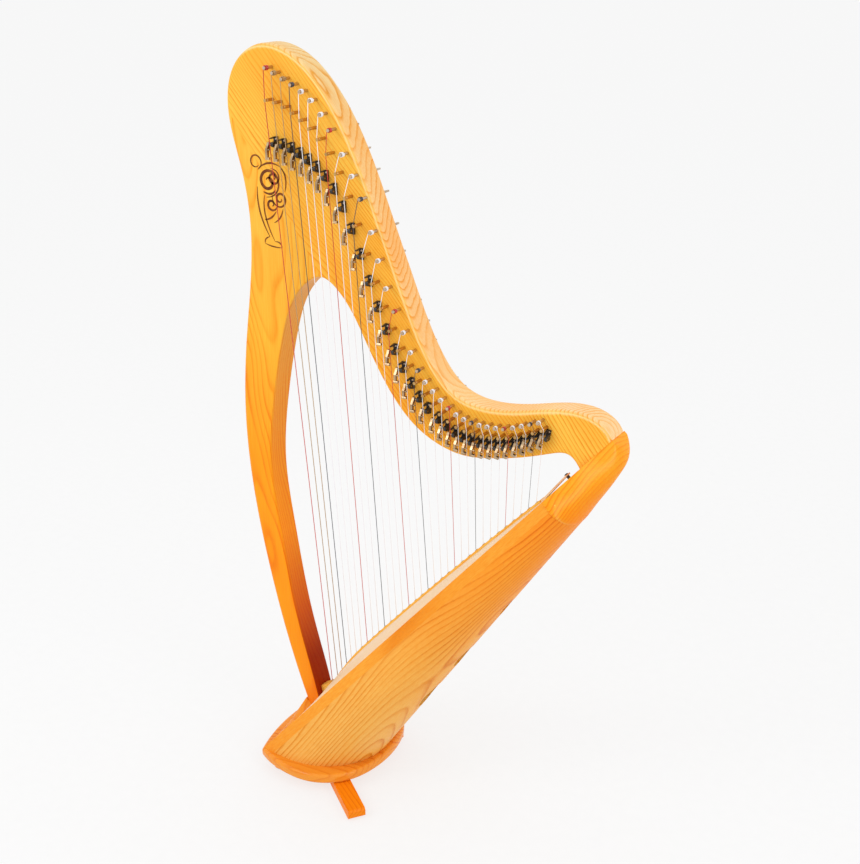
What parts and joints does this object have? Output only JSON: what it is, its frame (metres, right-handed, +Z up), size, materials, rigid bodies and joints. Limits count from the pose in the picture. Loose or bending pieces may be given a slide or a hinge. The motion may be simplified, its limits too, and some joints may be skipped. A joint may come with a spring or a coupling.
{
  "type": "lever harp",
  "caption": "Floor-standing lever harp with a curved neck, bowed column, round-backed soundbox and sharping levers that flip against the strings.",
  "frame": {"origin": "centre of the footprint of the whole harp, on the floor", "axes": "+Z up; +X from the column towards the player's shoulder, in the plane of the harp; -Y is the side that carries the strings and levers on the neck"},
  "size_m": [0.8237, 0.3474, 1.4881],
  "materials": {
    "neck": "oiled, satin; a slipped near-tangent grain runs down towards the treble",
    "column": "oiled, satin",
    "toe_block": "oiled, satin",
    "base_plate": "lacquered, semi-gloss",
    "soundbox_shell": "cherry-like veneer, satin lacquer",
    "soundboard": "pale spruce-like softwood, thin satin lacquer",
    "string_rib": "satin",
    "inner_rib": "unfinished",
    "side_rails": "satin lacquer",
    "soundbox_bracing": "unfinished",
    "base_block": "unfinished",
    "shoulder_block": "oiled, satin",
    "foot_bars": "lacquered",
    "foot_pads": "matte",
    "wood_screws": "plain",
    "tuning_pins": "plated, slightly worn",
    "bridge_pins": "dull",
    "lever_bases": "black moulded",
    "lever_pivots": "bright",
    "lever_arms": "nickel plate, bright",
    "strings_red": "nylon, satin",
    "strings_black": "nylon, satin",
    "strings_clear": "nylon monofilament",
    "strings_wound": "close-wound bronze",
    "grommets": "dull",
    "string_knots": "plain",
    "rib_tail_bar": "satin",
    "tail_stud": "black"
  },
  "bodies": {
    "harp": {"neck": "neck", "column": "column", "toe_block": "toe_block", "base_plate": "base_plate", "soundbox_shell": "soundbox_shell", "soundboard": "soundboard", "string_rib": "string_rib", "inner_rib": "inner_rib", "side_rails": "side_rails", "soundbox_bracing": "soundbox_bracing", "base_block": "base_block", "shoulder_block": "shoulder_block", "foot_bars": "foot_bars", "foot_pads": "foot_pads", "wood_screws": "wood_screws", "tuning_pins": "tuning_pins", "bridge_pins": "bridge_pins", "lever_bases": "lever_bases", "lever_pivots": "lever_pivots", "strings_red": "strings_red", "strings_black": "strings_black", "strings_clear": "strings_clear", "strings_wound": "strings_wound", "grommets": "grommets", "string_knots": "string_knots", "rib_tail_bar": "rib_tail_bar", "tail_stud": "tail_stud"},
    "lever_01": {"lever_01": "lever_arms"},
    "lever_02": {"lever_02": "lever_arms"},
    "lever_03": {"lever_03": "lever_arms"},
    "lever_04": {"lever_04": "lever_arms"},
    "lever_05": {"lever_05": "lever_arms"},
    "lever_06": {"lever_06": "lever_arms"},
    "lever_07": {"lever_07": "lever_arms"},
    "lever_08": {"lever_08": "lever_arms"},
    "lever_09": {"lever_09": "lever_arms"},
    "lever_10": {"lever_10": "lever_arms"},
    "lever_11": {"lever_11": "lever_arms"},
    "lever_12": {"lever_12": "lever_arms"},
    "lever_13": {"lever_13": "lever_arms"},
    "lever_14": {"lever_14": "lever_arms"},
    "lever_15": {"lever_15": "lever_arms"},
    "lever_16": {"lever_16": "lever_arms"},
    "lever_17": {"lever_17": "lever_arms"},
    "lever_18": {"lever_18": "lever_arms"},
    "lever_19": {"lever_19": "lever_arms"},
    "lever_20": {"lever_20": "lever_arms"},
    "lever_21": {"lever_21": "lever_arms"},
    "lever_22": {"lever_22": "lever_arms"},
    "lever_23": {"lever_23": "lever_arms"},
    "lever_24": {"lever_24": "lever_arms"},
    "lever_25": {"lever_25": "lever_arms"},
    "lever_26": {"lever_26": "lever_arms"},
    "lever_27": {"lever_27": "lever_arms"},
    "lever_28": {"lever_28": "lever_arms"},
    "lever_29": {"lever_29": "lever_arms"},
    "lever_30": {"lever_30": "lever_arms"},
    "lever_31": {"lever_31": "lever_arms"},
    "lever_32": {"lever_32": "lever_arms"},
    "lever_33": {"lever_33": "lever_arms"}
  },
  "joints": [
    {"name": "lever_01_flip", "type": "hinge", "parent": "harp", "child": "lever_01", "pos_m": [-0.29834, -0.02489, 1.31356], "axis": [-0.9983, 0, -0.0585], "range_deg": [0, 105]},
    {"name": "lever_02_flip", "type": "hinge", "parent": "harp", "child": "lever_02", "pos_m": [-0.27964, -0.02488, 1.31173], "axis": [-0.9984, 0, -0.0558], "range_deg": [0, 105]},
    {"name": "lever_03_flip", "type": "hinge", "parent": "harp", "child": "lever_03", "pos_m": [-0.26115, -0.02487, 1.30655], "axis": [-0.9987, 0, -0.0514], "range_deg": [0, 105]},
    {"name": "lever_04_flip", "type": "hinge", "parent": "harp", "child": "lever_04", "pos_m": [-0.24273, -0.02487, 1.29918], "axis": [-0.9989, 0, -0.0471], "range_deg": [0, 105]},
    {"name": "lever_05_flip", "type": "hinge", "parent": "harp", "child": "lever_05", "pos_m": [-0.22435, -0.02485, 1.28989], "axis": [-0.9991, 0, -0.043], "range_deg": [0, 105]},
    {"name": "lever_06_flip", "type": "hinge", "parent": "harp", "child": "lever_06", "pos_m": [-0.20602, -0.02484, 1.27851], "axis": [-0.9992, 0, -0.0393], "range_deg": [0, 105]},
    {"name": "lever_07_flip", "type": "hinge", "parent": "harp", "child": "lever_07", "pos_m": [-0.18771, -0.02483, 1.2637], "axis": [-0.9993, 0, -0.0362], "range_deg": [0, 105]},
    {"name": "lever_08_flip", "type": "hinge", "parent": "harp", "child": "lever_08", "pos_m": [-0.16942, -0.02481, 1.24228], "axis": [-0.9994, 0, -0.0338], "range_deg": [0, 105]},
    {"name": "lever_09_flip", "type": "hinge", "parent": "harp", "child": "lever_09", "pos_m": [-0.15121, -0.02479, 1.21246], "axis": [-0.9995, 0, -0.0316], "range_deg": [0, 105]},
    {"name": "lever_10_flip", "type": "hinge", "parent": "harp", "child": "lever_10", "pos_m": [-0.13306, -0.02476, 1.17478], "axis": [-0.9996, 0, -0.0296], "range_deg": [0, 105]},
    {"name": "lever_11_flip", "type": "hinge", "parent": "harp", "child": "lever_11", "pos_m": [-0.11497, -0.02472, 1.13051], "axis": [-0.9996, 0, -0.0277], "range_deg": [0, 105]},
    {"name": "lever_12_flip", "type": "hinge", "parent": "harp", "child": "lever_12", "pos_m": [-0.09696, -0.02467, 1.08319], "axis": [-0.9997, 0, -0.0257], "range_deg": [0, 105]},
    {"name": "lever_13_flip", "type": "hinge", "parent": "harp", "child": "lever_13", "pos_m": [-0.07901, -0.02461, 1.03759], "axis": [-0.9997, 0, -0.0234], "range_deg": [0, 105]},
    {"name": "lever_14_flip", "type": "hinge", "parent": "harp", "child": "lever_14", "pos_m": [-0.06113, -0.02455, 0.99744], "axis": [-0.9998, 0, -0.0207], "range_deg": [0, 105]},
    {"name": "lever_15_flip", "type": "hinge", "parent": "harp", "child": "lever_15", "pos_m": [-0.04333, -0.02449, 0.96219], "axis": [-0.9998, 0, -0.0174], "range_deg": [0, 105]},
    {"name": "lever_16_flip", "type": "hinge", "parent": "harp", "child": "lever_16", "pos_m": [-0.0256, -0.02441, 0.93095], "axis": [-0.9999, 0, -0.0136], "range_deg": [0, 105]},
    {"name": "lever_17_flip", "type": "hinge", "parent": "harp", "child": "lever_17", "pos_m": [-0.00795, -0.02433, 0.90355], "axis": [-1, 0, -0.0091], "range_deg": [0, 105]},
    {"name": "lever_18_flip", "type": "hinge", "parent": "harp", "child": "lever_18", "pos_m": [0.00963, -0.02425, 0.88025], "axis": [-1, 0, -0.0039], "range_deg": [0, 105]},
    {"name": "lever_19_flip", "type": "hinge", "parent": "harp", "child": "lever_19", "pos_m": [0.02714, -0.02416, 0.8616], "axis": [-1, 0, 0.0021], "range_deg": [0, 105]},
    {"name": "lever_20_flip", "type": "hinge", "parent": "harp", "child": "lever_20", "pos_m": [0.04996, -0.02406, 0.84734], "axis": [-0.9997, 0, 0.0245], "range_deg": [0, 105]},
    {"name": "lever_21_flip", "type": "hinge", "parent": "harp", "child": "lever_21", "pos_m": [0.06728, -0.02397, 0.83622], "axis": [-0.9994, 0, 0.0334], "range_deg": [0, 105]},
    {"name": "lever_22_flip", "type": "hinge", "parent": "harp", "child": "lever_22", "pos_m": [0.08452, -0.02386, 0.8275], "axis": [-0.9991, 0, 0.0432], "range_deg": [0, 105]},
    {"name": "lever_23_flip", "type": "hinge", "parent": "harp", "child": "lever_23", "pos_m": [0.10169, -0.02375, 0.82176], "axis": [-0.9985, 0, 0.0538], "range_deg": [0, 105]},
    {"name": "lever_24_flip", "type": "hinge", "parent": "harp", "child": "lever_24", "pos_m": [0.11879, -0.02365, 0.8191], "axis": [-0.9979, 0, 0.0651], "range_deg": [0, 105]},
    {"name": "lever_25_flip", "type": "hinge", "parent": "harp", "child": "lever_25", "pos_m": [0.13582, -0.02354, 0.81843], "axis": [-0.997, 0, 0.0771], "range_deg": [0, 105]},
    {"name": "lever_26_flip", "type": "hinge", "parent": "harp", "child": "lever_26", "pos_m": [0.15278, -0.02343, 0.81896], "axis": [-0.9959, 0, 0.09], "range_deg": [0, 105]},
    {"name": "lever_27_flip", "type": "hinge", "parent": "harp", "child": "lever_27", "pos_m": [0.16966, -0.02332, 0.82074], "axis": [-0.9946, 0, 0.1037], "range_deg": [0, 105]},
    {"name": "lever_28_flip", "type": "hinge", "parent": "harp", "child": "lever_28", "pos_m": [0.18647, -0.0232, 0.8239], "axis": [-0.993, 0, 0.118], "range_deg": [0, 105]},
    {"name": "lever_29_flip", "type": "hinge", "parent": "harp", "child": "lever_29", "pos_m": [0.20321, -0.02308, 0.82859], "axis": [-0.9912, 0, 0.1326], "range_deg": [0, 105]},
    {"name": "lever_30_flip", "type": "hinge", "parent": "harp", "child": "lever_30", "pos_m": [0.21988, -0.02297, 0.83485], "axis": [-0.9891, 0, 0.1472], "range_deg": [0, 105]},
    {"name": "lever_31_flip", "type": "hinge", "parent": "harp", "child": "lever_31", "pos_m": [0.23649, -0.02287, 0.84238], "axis": [-0.9868, 0, 0.1617], "range_deg": [0, 105]},
    {"name": "lever_32_flip", "type": "hinge", "parent": "harp", "child": "lever_32", "pos_m": [0.25303, -0.02277, 0.85077], "axis": [-0.9844, 0, 0.1761], "range_deg": [0, 105]},
    {"name": "lever_33_flip", "type": "hinge", "parent": "harp", "child": "lever_33", "pos_m": [0.26953, -0.02267, 0.85977], "axis": [-0.9816, 0, 0.1907], "range_deg": [0, 105]}
  ]
}
